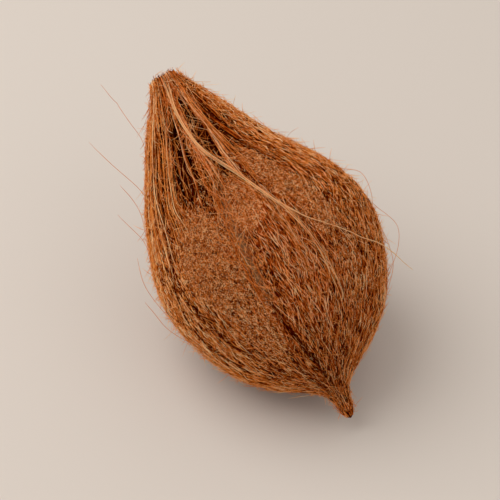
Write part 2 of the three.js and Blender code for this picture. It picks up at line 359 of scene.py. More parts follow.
def fibre_mesh(name, paths, outward, radii, tone, hue):
    """Three-sided closed tubes, one for each path. Each has a cell of its own in the map."""
    count, steps = paths.shape[:2]
    paths[..., 2] = np.maximum(paths[..., 2], FLOOR_GAP + radii)
    along = unit(np.gradient(paths, axis=1))
    side = unit(np.cross(along, outward))
    up = np.cross(side, along)
    turns = np.radians([90, 210, 330])
    ring = side[:, :, None] * np.cos(turns)[:, None] + up[:, :, None] * np.sin(turns)[:, None]
    points = paths[:, :, None] + radii[:, :, None, None] * ring

    ids = np.arange(count * steps * 3).reshape(count, steps, 3)
    after = np.roll(ids, -1, axis=2)
    quads = np.stack([ids[:, :-1], after[:, :-1], after[:, 1:], ids[:, 1:]], -1).reshape(-1, 4)
    caps = np.concatenate([ids[:, 0, ::-1], ids[:, -1]])
    corners = np.concatenate([quads.ravel(), caps.ravel()])
    starts = np.concatenate([np.arange(len(quads)) * 4, 4 * len(quads) + np.arange(len(caps)) * 3])

    # The map is a square grid, and a fibre fills the middle of its own cell.
    low, wide = CELL_MARGIN, 1 - 2 * CELL_MARGIN
    cells = int(np.ceil(np.sqrt(count)))
    cell = np.stack([np.arange(count) % cells, np.arange(count) // cells], -1)[:, None, None]
    u, v = np.meshgrid(np.arange(4) / 3, np.arange(steps) / (steps - 1))
    spot = np.stack([u, v], -1)
    quad_spots = np.stack([spot[:-1, :-1], spot[:-1, 1:], spot[1:, 1:], spot[1:, :-1]], 2).reshape(-1, 4, 2)
    quad_uv = (cell + low + wide * quad_spots) / cells
    tip = 1 / steps
    cap_uv = [
        (cell[:, 0] + low + wide * np.array([(0, v0), (1, v0), (0.5, v1)])) / cells
        for v0, v1 in ((0, tip), (1, 1 - tip))
    ]
    uv = np.concatenate([quad_uv.reshape(-1, 2), *(c.reshape(-1, 2) for c in cap_uv)])

    spread = [np.repeat(values.reshape(-1), 3) for values in (tone, hue)]
    return mesh_from(name, points.reshape(-1, 3), corners, starts, uv, dict(zip(("tone", "hue"), spread)))


def tube_radii(rng, count, steps, thin, thick, tip=0.35):
    """Radii in metres: one size for each fibre, thinner towards both ends."""
    size = thin + (thick - thin) * rng.random((count, 1)) ** 1.6
    share = np.linspace(0, 1, steps)
    slim = tip + (1 - tip) * np.minimum(1, 6 * np.minimum(share, 1 - share))
    return size * slim / 1000


def ramp_node(nodes, stops):
    ramp = nodes.new("ShaderNodeValToRGB")
    elements = ramp.color_ramp.elements
    while len(elements) < len(stops):
        elements.new(0.5)
    for element, (at, colour) in zip(elements, stops):
        element.position = at
        element.color = (*colour, 1)
    return ramp


# Linear colours from the dark of the gaps to sun-bleached fibre, on the ochre and on the rosy side.
OCHRE = [(0.0, (0.010, 0.0004, 0.0001)), (0.25, (0.13, 0.007, 0.0002)), (0.5, (0.56, 0.114, 0.008)),
         (0.75, (0.92, 0.34, 0.072)), (1.0, (1.0, 0.66, 0.32))]
ROSY = [(0.0, (0.012, 0.0004, 0.0001)), (0.25, (0.135, 0.006, 0.0002)), (0.5, (0.58, 0.096, 0.007)),
        (0.75, (0.94, 0.29, 0.070)), (1.0, (1.0, 0.60, 0.31))]
SEAM_DUST = (0.26, 0.125, 0.055)
FELT_BUMP, FELT_BUMP_DEPTH = 0.9, 0.0005
PATTERN_CONTRAST = 2.8  # how strongly streaks and stipple change the felt's tone
STIPPLE_SCALE = 1900


def math(tree, kind, a, b):
    node = tree.nodes.new("ShaderNodeMath")
    node.operation = kind
    for socket, value in zip(node.inputs, (a, b)):
        if isinstance(value, bpy.types.NodeSocket):
            tree.links.new(value, socket)
        else:
            socket.default_value = value
    return node.outputs[0]


def noise(tree, vector, scale, detail, roughness=0.6):
    node = tree.nodes.new("ShaderNodeTexNoise")
    node.inputs["Scale"].default_value = scale
    node.inputs["Detail"].default_value = detail
    node.inputs["Roughness"].default_value = roughness
    tree.links.new(vector, node.inputs["Vector"])
    return node.outputs[0]


def attribute(tree, name, output="Fac"):
    node = tree.nodes.new("ShaderNodeAttribute")
    node.attribute_name = name
    return node.outputs[output]


def colour_output(mix):
    return [o for o in mix.outputs if o.type == "RGBA"][0]


def colour_input(mix, name):
    return [i for i in mix.inputs if i.name == name and i.type == "RGBA"][0]


def coir_material(name, roughness, mottle, mottle_scale):
    """Coir fibre: its tone and hue come from each fibre, and noise mottles it along its length."""
    material = bpy.data.materials.new(name)
    material.use_nodes = True
    tree = material.node_tree
    shader = tree.nodes["Principled BSDF"]
    where = tree.nodes.new("ShaderNodeTexCoord").outputs["Object"]
    speckle = math(tree, "SUBTRACT", noise(tree, where, mottle_scale, 3), 0.5)
    tone = math(tree, "ADD", attribute(tree, "tone"), math(tree, "MULTIPLY", speckle, mottle))
    mix = tree.nodes.new("ShaderNodeMix")
    mix.data_type = "RGBA"
    tree.links.new(attribute(tree, "hue"), mix.inputs["Factor"])
    for stops, socket in ((OCHRE, "A"), (ROSY, "B")):
        ramp = ramp_node(tree.nodes, stops)
        tree.links.new(tone, ramp.inputs[0])
        tree.links.new(ramp.outputs[0], colour_input(mix, socket))
    tree.links.new(colour_output(mix), shader.inputs["Base Color"])
    shader.inputs["Roughness"].default_value = roughness
    shader.inputs["Specular IOR Level"].default_value = 0.0
    return material, tree, shader, tone


def husk_material():
    """The felt under the fibres: streaks along the strands, stipple on the patches, with bump from both.

    Dust greys it along the seam.
    """
    material, tree, shader, tone = coir_material("husk_felt", roughness=0.85, mottle=0.5, mottle_scale=900)
    coir = [n for n in tree.nodes if n.bl_idname == "ShaderNodeMix"][0]
    dust = tree.nodes.new("ShaderNodeMix")
    dust.data_type = "RGBA"
    tree.links.new(attribute(tree, "dust"), dust.inputs["Factor"])
    tree.links.new(colour_output(coir), colour_input(dust, "A"))
    colour_input(dust, "B").default_value = (*SEAM_DUST, 1)
    tree.links.new(colour_output(dust), shader.inputs["Base Color"])
    lie = attribute(tree, "lie", "Vector")
    streak = noise(tree, lie, 1.0, 4, 0.7)
    stipple = noise(tree, tree.nodes["Texture Coordinate"].outputs["Object"], STIPPLE_SCALE, 2)
    pattern = tree.nodes.new("ShaderNodeMix")
    tree.links.new(attribute(tree, "felt"), pattern.inputs["Factor"])
    tree.links.new(streak, pattern.inputs["A"])
    tree.links.new(stipple, pattern.inputs["B"])
    height = pattern.outputs["Result"]
    change = math(tree, "MULTIPLY", math(tree, "SUBTRACT", height, 0.5), PATTERN_CONTRAST)
    lifted = math(tree, "ADD", tone, change)
    for ramp in [n for n in tree.nodes if n.bl_idname == "ShaderNodeValToRGB"]:
        tree.links.new(lifted, ramp.inputs[0])
    bump = tree.nodes.new("ShaderNodeBump")
    bump.inputs["Strength"].default_value = FELT_BUMP
    bump.inputs["Distance"].default_value = FELT_BUMP_DEPTH
    tree.links.new(height, bump.inputs["Height"])
    tree.links.new(bump.outputs["Normal"], shader.inputs["Normal"])
    return material


HUSK_COLUMNS, HUSK_ROWS = 400, 240
HUSK_CROWDING = 1.05  # how much closer its rings lie at the point
HUSK_BELOW_END = 2.5  # how far it stops short of the tuft's cut end
STREAKS_ROUND, STREAK_LENGTH = 150, 9


def husk_body():
    """The felted nut and the core of the tuft, as one closed surface."""
    share = np.linspace(0, 1, HUSK_ROWS)
    station = (LENGTH - HUSK_BELOW_END) * share**HUSK_CROWDING
    angle = np.arange(HUSK_COLUMNS) * 360 / HUSK_COLUMNS
    s, a = np.meshgrid(station, angle, indexing="ij")
    points = place(s, a, skin(s, a))
    points[..., 2] = np.maximum(points[..., 2], 0)
    tip, end = place(np.array([-1.0, LENGTH - 2]), 0.0, np.array([0.0, 0.0]))
    felt, seam = feltness(s, a), seamness(s, a)
    dusty = seam * smoothstep(*SEAM_DUSTY, s)
    # Dark between the strands: the felt's own dark with painted shade, a little lighter up their ridges.
    # Lighter on felt and seam. Painted shade makes the core of the tuft, deep under its strands, darkest, and
    # the point is darkest too.
    tone = 0.09 + 0.02 * broad(s, a) + 0.04 * ridges(s, a) + 0.24 * felt + 0.16 * dusty
    tone -= 0.03 * smoothstep(0.5, 4, coat_radius(s) - skin(s, a)) + 0.06 * (1 - smoothstep(5, 30, s))
    tone += 0.7 * painted_light(s, a) + 0.12 * slits(s, a)
    hue = np.clip(rosiness(s, a), 0, 1)
    turn = np.radians(a)
    lie = np.stack([STREAKS_ROUND * np.cos(turn), STREAKS_ROUND * np.sin(turn), s / STREAK_LENGTH], -1)
    dust = np.maximum(dusty, 0.2 * felt)
    flat = {"tone": (tone, 0.2), "hue": (hue, 0.5), "felt": (felt, 0), "dust": (dust, 0)}
    attributes = {key: np.append(values.ravel(), [pole, pole]) for key, (values, pole) in flat.items()}
    attributes["lie"] = np.concatenate([lie.reshape(-1, 3), np.zeros((2, 3))])

    ids = np.arange(s.size).reshape(s.shape)
    after = np.roll(ids, -1, axis=1)
    quads = np.stack([ids[:-1], ids[1:], after[1:], after[:-1]], -1).reshape(-1, 4)
    tips = np.stack([np.full(HUSK_COLUMNS, s.size), ids[0], after[0]], -1)
    ends = np.stack([np.full(HUSK_COLUMNS, s.size + 1), after[-1], ids[-1]], -1)
    corners = np.concatenate([quads.ravel(), tips.ravel(), ends.ravel()])
    starts = np.concatenate([np.arange(len(quads)) * 4, 4 * len(quads) + np.arange(2 * HUSK_COLUMNS) * 3])

    u, v = np.meshgrid(np.arange(HUSK_COLUMNS + 1) / HUSK_COLUMNS, 0.02 + 0.96 * share)
    spot = np.stack([u, v], -1)
    quad_uv = np.stack([spot[:-1, :-1], spot[1:, :-1], spot[1:, 1:], spot[:-1, 1:]], 2)
    tip_uv = np.stack([np.stack([u[0, :-1], 0 * u[0, :-1]], -1), spot[0, :-1], spot[0, 1:]], 1)
    end_uv = np.stack([np.stack([u[0, :-1], 0 * u[0, :-1] + 1], -1), spot[-1, 1:], spot[-1, :-1]], 1)
    uv = np.concatenate([quad_uv.reshape(-1, 2), tip_uv.reshape(-1, 2), end_uv.reshape(-1, 2)])
    points = np.concatenate([points.reshape(-1, 3), [tip, end]])
    body = mesh_from("husk_body", points, corners, starts, uv, attributes)
    return finish_piece(body, husk_material())


def surface_spots(rng, count, low, high):
    """Stations and angles spread evenly over the nut's surface between two stations."""
    grid = np.linspace(low, high, 400)
    radius = nut_radius(grid)
    weight = radius * np.hypot(1, np.gradient(radius, grid)) + 1.5
    total = np.cumsum(weight)
    station = np.interp(rng.random(count) * total[-1], total, grid)
    return station, rng.random(count) * 360


def degrees_of(millimetres, radius):
    return np.degrees(millimetres / np.maximum(radius, 2.5))


def drift(station, angle):
    """How the strands sway off their meridians, in degrees."""
    return 5 * sway(station, angle) * smoothstep(10, 40, station)


# How far each station is from the tip of the point, over the coat's surface.
STATIONS = np.linspace(0, LENGTH, 800)
RUN = np.concatenate([[0], np.cumsum(np.hypot(np.diff(STATIONS), np.diff(coat_radius(STATIONS))))])

HATCH_STEPS = 6
STRAND_PIECES = 6  # pieces that the nut's strands are shared out between, by angle
LAID_UP_TO = 168  # the highest station that short strands are laid at
# Layers of short strands, from the felt outwards. height is how far they lie above their bed, slope how
# steeply they lean, and sizes the radii of the thinnest and thickest. tone_at is their tone, darker for the
# lowest layer: painted shade.
STRAND_LAYERS = [
    dict(pitch=1.3, row_step=3.3, lengths=(4.0, 7.0), height=(0.0, 0.35), slope=0.24, tone_at=0.36,
         sizes=(0.15, 0.25)),
    dict(pitch=1.35, row_step=3.4, lengths=(4.0, 7.0), height=(0.35, 0.7), slope=0.28, tone_at=0.55,
         sizes=(0.13, 0.23)),
    dict(pitch=3.6, row_step=8.0, lengths=(8, 20), height=(0.6, 0.9), slope=0.22, tone_at=0.60,
         sizes=(0.09, 0.14)),
]


def laid_strands(rng, pitch, row_step, lengths, height, slope, tone_at, sizes):
    """Short strands laid in rows round the nut. They lean both ways, so dark slits show where they cross."""
    rows = np.arange(1.0, np.interp(LAID_UP_TO, STATIONS, RUN), row_step)
    counts = np.maximum(5, 2 * np.pi * coat_radius(np.interp(rows, RUN, STATIONS)) / pitch).astype(int)
    run, odd, in_row = (np.repeat(v, counts) for v in (rows, np.arange(len(rows)) % 2, counts))
    column = np.concatenate([np.arange(count) for count in counts])
    angle = (column + 0.5 * odd + rng.uniform(-0.32, 0.32, len(run))) * 360 / in_row
    run = run + rng.normal(0, 0.3 * row_step, len(run))
    station = np.interp(run, RUN, STATIONS)
    # Strands are left out on the felt, where the tuft's own fibres start, and along the seam and the grooves.
    bare = feltness(station, angle)
    across_tuft = crossed(angle)
    covered = 0.55 * smoothstep(72, 96, station) + 0.3 * smoothstep(102, 110, station)
    covered = (covered + 0.2 * smoothstep(112, 117, station)) * (1 - across_tuft)
    covered = covered + 0.35 * across_tuft * smoothstep(140, 165, station)
    open_line = 0.75 * seamness(station, angle) + 0.6 * grooved(station, angle)
    keep = rng.random(len(run)) > np.maximum(0.97 * bare, covered) + open_line
    run, station, start, bare = (v[keep][:, None] for v in (run, station, angle, bare))
    one = run.shape
    share = np.linspace(-0.5, 0.5, HATCH_STEPS)
    reach = rng.uniform(*lengths, one) * (1 - 0.5 * bare)
    s = np.interp(run + reach * share, RUN, STATIONS)
    # They lean less on the left and near the point.
    calm = 0.45 * facing(start, 178, 28) + 0.4 * (1 - smoothstep(25, 55, station))
    lean = slope * np.where(rng.random(one) < 0.5, -1, 1) * rng.uniform(0.2, 1.5, one) * (1 - calm)
    across = lean * reach * share + 0.14 * np.sin(s / rng.uniform(0.7, 1.6, one) + rng.uniform(0, 6.3, one))
    across = across * (0.35 + 0.65 * smoothstep(2, 40, s))
    a = start + drift(s, start) - drift(station, start) + degrees_of(across, nut_radius(s))
    wave = 0.16 * np.sin(s / rng.uniform(0.8, 1.6, one) + rng.uniform(0, 6.3, one))
    ends = 1 - np.abs(2 * share) ** 3
    rise = rng.uniform(*height, one)
    # Painted light and shade: lighter where they rise and where their waves lift them, and darker at their
    # sunken ends, where they lie under the tuft's strands, and at the nut's right edge. They are also darker
    # low on the nut.
    tone = tone_at + 0.14 * rise + 0.2 * wave + 0.22 * rng.normal(0, 1, one) + 0.32 * slits(s, a)
    tone = tone + 0.07 * clumping(s, a) + 0.05 * broad(s, a) - 0.14 * (1 - ends)
    over_tuft = smoothstep(104, 120, s)
    tone = tone + over_tuft * (0.32 * crossed(a) - 0.25) - 0.09 * (1 - smoothstep(2, 45, s))
    tone = tone - 0.2 * seamness(s, a) - 0.2 * grooved(s, a) + painted_light(s, a)
    # Painted shade on the nut's right edge, away from the light.
    tone = tone - 0.15 * facing(start, 45, 16) * (1 - smoothstep(90, 110, s))
    hue = np.clip(rosiness(s, a) + 0.2 * rng.normal(0, 1, one), 0, 1)
    strands = list(np.broadcast_arrays(s, a, bed(s, a) + (rise + wave) * ends - 0.2, tone, hue))
    return strands + [tube_radii(rng, len(s), HATCH_STEPS, *sizes)]


def nut_strands(material):
    """Two layers of strands over the nut, and longer single ones on top of them."""
    rng = np.random.default_rng(20)
    layers = [laid_strands(rng, **layer) for layer in STRAND_LAYERS]
    bundle("coir_strands", material, layers, STRAND_PIECES)


def bundle(name, material, groups, pieces=1):
    """Several groups of fibres, each with the same number of steps, as one piece or a few."""
    *strands, radii = (np.concatenate(values) for values in zip(*groups))
    in_pieces(name, pieces, strands, radii, material)


def in_pieces(name, pieces, strands, radii, material):
    """Fibres as pieces of the scene, shared out by their angle."""
    s, a, r, tone, hue = strands
    sector = (a[:, a.shape[1] // 2] + 45) % 360 // (360 / pieces)
    for number in range(pieces):
        own = sector == number
        fibres = fibre_mesh(
            f"{name}_{number + 1}" if pieces > 1 else name, place(s[own], a[own], r[own]),
            outward_at(s[own], a[own]), radii[own], tone[own], hue[own],
        )
        finish_piece(fibres, material)


TUFT_STEPS = 30
# Layers of the tuft, from its core outwards, each of strands with a few fibres side by side. depth is how far
# below the coat they run, opened how far they leave the hollows open, and roots where on the nut they start.
# The layers under the outer ones have a darker tone_at: painted shade.
TUFT_LAYERS = [
    dict(name="coir_tuft_deep", seed=30, strands=130, fibres=4, pitch=0.5, depth=(2.2, 4.6), tone_at=0.42,
         opened=0.1, roots=(98, 108), sizes=(0.16, 0.27), paints_hollows=True),
    dict(name="coir_tuft_inner", seed=31, strands=100, fibres=4, pitch=0.5, depth=(1.0, 2.2), tone_at=0.30,
         opened=0.6, roots=(84, 104), sizes=(0.16, 0.27)),
    dict(name="coir_tuft_outer", seed=32, strands=96, fibres=5, pitch=0.42, depth=(-0.3, 0.7), tone_at=0.55,
         opened=1.0, roots=(54, 100), sizes=(0.12, 0.23)),
    dict(name="coir_tuft_top", seed=33, strands=120, fibres=1, pitch=0.5, depth=(-0.9, -0.3), tone_at=0.68,
         opened=1.0, roots=(70, 104), sizes=(0.12, 0.22)),
]
# Painted shade and painted light inside the hollows: the angle and the width of what is darker or lighter, and
# by how much.
HOLLOW_PAINTED_SHADE = [(102, 9, -0.25), (158.5, 6, -0.22)]
HOLLOW_PAINTED_LIGHT = (142, 7, 0.20)


def tuft_layer(
    material, name, seed, strands, fibres, pitch, depth, tone_at, opened, roots, sizes, paints_hollows=False,
):
    """Strands of the tuft, from the nut's shoulder to the cut end.

    The tuft narrows, so most of them sink below the others on the way, and few reach its end on the outside.
    """
    rng = np.random.default_rng(seed)
    strand, each = (strands, 1, 1), (strands, fibres, 1)
    start = ((np.arange(strands) + rng.uniform(-0.3, 0.3, strands)) * 360 / strands)[:, None, None]
    share = np.linspace(0, 1, TUFT_STEPS)
    # No fibre starts on felt, and one that would cross an open hollow starts near the cut end instead.
    probe = np.linspace(roots[0], 112, 40)
    felted = np.maximum(feltness(probe, start + 0 * probe), seamness(probe, start + 0 * probe)) > 0.35
    root = rng.uniform(*roots, strand) + rng.normal(0, 3, each)
    above_felt = np.where(felted, probe + 1.5, 0).max(-1, keepdims=True)
    root = np.maximum(root, above_felt - rng.exponential(4, each))
    end = LENGTH + rng.normal(0, 0.5, strand) + rng.normal(0, 0.6, each)
    inside = parted(root + (end - root) * share, start + 0 * root, opened)[1][..., None]
    root = np.where(inside > 0.55, rng.uniform(148, 158, each), root) if opened > 0.5 else root
    s = root + (end - root) * share
    # The fibres of a strand lie side by side and sway together.
    slim = coat_radius(s) / 50
    waves = rng.uniform(0, 6.3, (3,) + strand)
    turns = rng.uniform(0, 6.3, (2,) + each)
    middle = 0.4 * np.sin(s / rng.uniform(5, 9, strand) + waves[0]) + 0.8 * np.sin(s / 19 + waves[1])
    offset = (np.arange(fibres) - (fibres - 1) / 2)[:, None] * pitch + 0.35 * pitch * rng.normal(0, 1, each)
    across = middle * (1 - 0.4 * opened) + offset * (0.7 + 0.3 * np.sin(s / 11 + waves[2]))
    across = across + 0.30 * np.sin(s / rng.uniform(1.6, 5, each) + turns[0])
    a = parted(s, start + drift(s, start), opened)[0]
    a = a + degrees_of(across * (0.3 + 0.7 * slim), coat_radius(s))
    # Strands sink in turn as the tuft narrows, and the first stretch of each is buried in the nut.
    sinks = smoothstep(0, 0.25, rng.random(strand) - slim * 1.05)
    below = depth[0] + (depth[1] - depth[0]) * rng.random(strand) + rng.normal(0, 0.15, each)
    below = (below + 2.4 * sinks * rng.uniform(0.5, 1.1, strand)) * np.clip(coat_radius(s) / 14, 0.3, 1)
    buried = 1.6 * (1 - smoothstep(0, 0.16, share))
    below = below + 0.7 * crossed(start)
    r = coat_radius(s) - below - buried + 0.25 * np.sin(s / rng.uniform(1.8, 6, each) + turns[1])
    r = np.maximum(r, 0.4)
    # Painted shade: strands are darker the deeper they run, along their buried first stretch, and on the
    # crossed side under the short strands. They also take the painted light.
    tone = tone_at - 0.02 + 0.17 * rng.normal(0, 1, strand) + 0.23 * rng.normal(0, 1, each) - 0.05 * below
    tone = tone - 0.10 * buried + 0.06 * np.sin(s / rng.uniform(2, 9, each) + turns[0]) + painted_light(s, a)
    tone = tone - 0.34 * crossed(start)
    # Painted shade and painted light inside the hollows, for the deep layer.
    if paints_hollows:
        for centre, width, change in HOLLOW_PAINTED_SHADE:
            tone = tone + change * facing(a, centre, width)
        centre, width, change = HOLLOW_PAINTED_LIGHT
        tone = tone + change * facing(a, centre, width) * smoothstep(109, 118, s)
    hue = np.clip(rosiness(s, a) + 0.22 * rng.normal(0, 1, strand) + 0.12 * rng.normal(0, 1, each), 0, 1)
    layer = [x.reshape(-1, TUFT_STEPS) for x in np.broadcast_arrays(s, a, r, tone, hue)]
    in_pieces(name, 1, layer, tube_radii(rng, strands * fibres, TUFT_STEPS, *sizes, tip=0.7), material)


# Flat straps, with routes of stations, angles and heights above the coat. width is half a strap's, first at
# the start of its route and then at the end.
STRAPS = [
    dict(fibres=9, width=(0.95, 0.7), tone=1.06, route=[
        (177, 108, 0.5), (168.5, 113.5, 0.9), (159, 116.5, 1.2), (146.5, 114.5, 1.4), (136, 111, 1.4),
        (128, 107, 1.4), (120.9, 103.6, 1.4), (113.4, 101, 1.4), (98, 96.3, 1.3), (84.5, 88.5, 1.2),
        (78.2, 81.5, 1.2), (73.5, 74.8, 1.2)]),
    dict(fibres=6, width=(1.2, 2.4), tone=0.68, route=[
        (118, 107, 0.9), (106, 102, 1.0), (97, 98.5, 1.0), (84, 98, 1.0), (71, 97.6, 1.0), (57.5, 98.4, 0.9),
        (44.5, 99.4, 0.9), (30, 100, 0.6)]),
    dict(fibres=5, width=(0.8, 1.1), tone=0.80, route=[
        (106, 98, 1.0), (93.6, 94, 1.1), (78.6, 90.2, 1.1), (63.3, 87.2, 1.1), (49.9, 85.4, 1.0),
        (41.2, 83.6, 0.9), (31.9, 81, 0.7)]),
    dict(fibres=7, width=(1.1, 1.6), tone=0.78, route=[
        (177, 79, 0.6), (164.5, 90, 0.8), (156.5, 94, 1.0), (148.5, 94.3, 1.1), (135, 91.5, 1.2),
        (120, 93, 1.2), (111, 95, 1.1), (102, 96, 1.1), (92, 95, 0.9)]),
    dict(fibres=5, width=(1.2, 1.3), tone=0.62, route=[
        (165, 118, -4), (150, 117, -2), (134, 117, 0), (122, 120, 0.6), (105, 120.5, 0.9), (85, 124, 0.9),
        (60, 126.3, 0.9), (48, 126.6, 0.9), (36, 124.8, 0.8), (15.6, 125, 0.6)]),
    dict(fibres=7, width=(1.5, 1.0), tone=0.78, route=[
        (177, 250, 0.5), (158, 243, 1.2), (138, 240, 1.4), (114, 246, 1.2), (92, 258, 1.0), (70, 272, 0.6)]),
    dict(fibres=7, width=(1.5, 1.0), tone=0.78, route=[
        (177, 330, 0.5), (156, 338, 1.2), (134, 344, 1.4), (110, 348, 1.2), (84, 340, 1.0), (58, 330, 0.9),
        (34, 326, 0.6)]),
]
# Single long hairs that stand off the coat, as routes like those of the straps. The first is the longest, a
# pale one across the nut that goes on from the first strap.
STRAYS = [
    [(113, 101, 1.6), (98, 96.5, 1.7), (84.5, 88.5, 1.6), (78.2, 81.5, 1.6), (73.5, 74.8, 1.6),
     (68.5, 67, 1.6), (63.4, 56.8, 1.7), (58, 33, 2.2), (51.6, 15, 8.2), (44.7, 13, 15)],
    [(188.6, 200, 20), (174.6, 200, 16.4), (156.6, 200, 3), (146, 199, 0.5)],
    [(167.5, 200, 32), (148.5, 200, 14), (133.8, 200, 1.3), (126, 199, 0.4)],
    [(143, 200, 14), (134, 200, 7), (125, 200, 2.5), (112, 198, 0.4)],
    [(131.5, 200, 15), (115.8, 200, 3), (104, 199, 0.4)],
    [(91, 205, 8.2), (84, 205, 6), (75, 205, 4.4), (64, 203, 0.6)],
    [(110, 203, 7), (98, 204, 6), (87, 204, 3), (78, 203, 0.6)],
    [(100, 25, 0.6), (94.3, 25, 5.8), (84.9, 25, 4), (77, 23, 0.6)],
    [(84, 24, 0.6), (76.9, 22, 2.7), (65.2, 22, 8.7), (56.3, 22, 7.4), (48, 24, 2), (44, 26, 0.5)],
    [(72, 18, 0.4), (60, 20, 3), (50, 22, 4), (40, 24, 1)],
    [(150, 330, 9), (140, 325, 5), (128, 320, 1)],
    [(160, 270, 14), (146, 268, 8), (130, 266, 1)],
    [(96, 262, 6), (86, 258, 4), (74, 255, 0.6)],
]
FIRST_STRAY_TONE, FIRST_STRAY_SIZE = 0.98, 1.8
# Radii of the thinnest and the thickest of each kind, which all have the same number of steps.
STRAP_SIZES, STRAY_SIZES, GROOVE_SIZES, CROSSING_SIZES = (0.12, 0.20), (0.11, 0.15), (0.14, 0.20), (0.08, 0.13)
STRAP_STEPS = 26


def along_route(route, t):
    """Station, angle and height at shares t of a route through its points."""
    knots = np.linspace(0, 1, len(route))
    return [curve_through(list(zip(knots, values)))(t) for values in np.array(route, float).T]


def straps():
    """Lighter fibres that are drawn across the others in flat straps."""
    rng = np.random.default_rng(40)
    parts = []
    for strap in STRAPS:
        count = strap["fibres"]
        start = rng.uniform(-0.02, 0.12, (count, 1)) * (rng.random((count, 1)) < 0.6)
        stop = 1 - rng.uniform(0, 0.5, (count, 1)) * (rng.random((count, 1)) < 0.8)
        t = start + (stop - start) * np.linspace(0, 1, STRAP_STEPS)
        s, a, h = along_route(strap["route"], t)
        wide = strap["width"][0] + (strap["width"][1] - strap["width"][0]) * t
        place_in_strap = np.linspace(-1, 1, count)[:, None] + rng.normal(0, 0.22, (count, 1))
        across = wide * place_in_strap * (0.75 + 0.25 * np.cos(7 * t + rng.uniform(0, 6.3)))
        bends = 12 * t * rng.uniform(0.6, 1.6, (count, 1))
        across = across + 0.2 * np.sin(bends + rng.uniform(0, 6.3, (count, 1)))
        a = a + degrees_of(across, coat_radius(s))
        r = coat_radius(s) + h + 0.3 * rng.normal(0, 1, (count, 1)) - 0.10 * across**2
        tone = strap["tone"] + 0.17 * rng.normal(0, 1, (count, 1)) - 0.12 * smoothstep(0.8, 1, t) + 0 * s
        hue = np.clip(0.25 + 0.25 * rng.normal(0, 1, (count, 1)), 0, 1) + 0 * s
        parts.append((s, a, r, tone, hue))
    s, a, r, tone, hue = (np.concatenate(values) for values in zip(*parts))
    return s, a, r, tone, hue, tube_radii(rng, len(s), STRAP_STEPS, *STRAP_SIZES)


def strays():
    """The long hairs of STRAYS, each on its own route."""
    rng = np.random.default_rng(45)
    s, a, h = np.stack([along_route(route, np.linspace(0, 1, STRAP_STEPS)) for route in STRAYS], 1)
    tone, hue = (np.full(s.shape, value) for value in (0.62, 0.3))
    tone[0] = FIRST_STRAY_TONE
    radii = tube_radii(rng, len(s), STRAP_STEPS, *STRAY_SIZES, tip=0.5)
    radii[0] *= FIRST_STRAY_SIZE
    return s, a, coat_radius(s) + h, tone, hue, radii


def groove_lines():
    """Thin dark fibres that lie in the grooves and along the seam's lower half."""
    rng = np.random.default_rng(49)
    routes = [np.array(groove, float) for groove in GROOVES + [[spot for spot in SEAM if spot[0] < 70]]]
    t = np.linspace(0, 1, STRAP_STEPS)
    lines = []
    for route in routes:
        s, a = along_route(route, t)
        for offset in (-0.3, 0.0, 0.35):
            across = offset + 0.25 * np.sin(s / rng.uniform(1.5, 4) + rng.uniform(0, 6.3))
            lines.append((s, a + degrees_of(across, coat_radius(s)), coat_radius(s) + rng.uniform(0.2, 0.75)))
    s, a, r = (np.stack(values) for values in zip(*lines))
    tone = 0.14 + 0.06 * rng.normal(0, 1, (len(s), 1)) + 0 * s
    return s, a, r, tone, 0.6 + 0 * s, tube_radii(rng, len(s), STRAP_STEPS, *GROOVE_SIZES, tip=0.3)


FUZZ_PIECES, FUZZ_FIBRES, FUZZ_STEPS = 5, 68000, 3
FUZZ_TRIED, FUZZ_FROM, FUZZ_TO = 230000, 2, 127  # spots to choose from, and the stations they lie between
FUZZ_SIZES = (0.09, 0.15)
FUZZ_AMONG_STRANDS = 0.06  # the share of those spots with a stub off the felted patches


def felt_fuzz(material):
    """Short stubs and curls of fibre: dense on the felted patches, and thin among the strands."""
    rng = np.random.default_rng(50)
    station, angle = surface_spots(rng, FUZZ_TRIED, FUZZ_FROM, FUZZ_TO)
    felted = feltness(station, angle) * (1 - 0.6 * seamness(station, angle))
    keep = rng.random(len(station)) < FUZZ_AMONG_STRANDS + (1 - FUZZ_AMONG_STRANDS) * felted
    station, angle = station[keep][:FUZZ_FIBRES, None], angle[keep][:FUZZ_FIBRES, None]
    count = len(station)
    share = np.linspace(0, 1, FUZZ_STEPS)
    felt = feltness(station, angle)
    heading = rng.normal(0, 0.25 + 1.6 * smoothstep(0.5, 1, felt), (count, 1))
    length = rng.uniform(0.5, 1.1, (count, 1)) * (2.2 - 1.4 * felt)
    curl = rng.normal(0, 0.4, (count, 1))
    s = np.clip(station + length * share * np.cos(heading + curl * share), 0, 140)
    a = angle + degrees_of(length * share * np.sin(heading + curl * share), nut_radius(s))
    lift = rng.uniform(0.1, 0.6, (count, 1))
    arch = np.sin(np.pi * share * rng.uniform(0.5, 1.0, (count, 1))) ** 0.8
    r = skin(s, a) - 0.1 + lift * arch
    # Painted light and shade: stubs are lighter the higher they arch off the felt, and darker up under the
    # tuft.
    tone = 0.51 + 0.5 * lift * arch + 0.30 * rng.normal(0, 1, (count, 1))
    tone = tone - 0.20 * smoothstep(120, 128, s) - 0.22 * seamness(s, a)
    tone = tone + 0.20 * slits(s, a) + 0.42 * grain(s, a)
    hue = np.clip(0.1 + 0.2 * rng.normal(0, 1, (count, 1)), 0, 1) + 0 * s
    radii = tube_radii(rng, count, FUZZ_STEPS, *FUZZ_SIZES, tip=0.6)
    for number in range(FUZZ_PIECES):
        own = slice(number, None, FUZZ_PIECES)
        fuzz = fibre_mesh(
            f"coir_fuzz_{number + 1}", place(s[own], a[own], r[own]), outward_at(s[own], a[own]),
            radii[own], tone[own], hue[own],
        )
        finish_piece(fuzz, material)


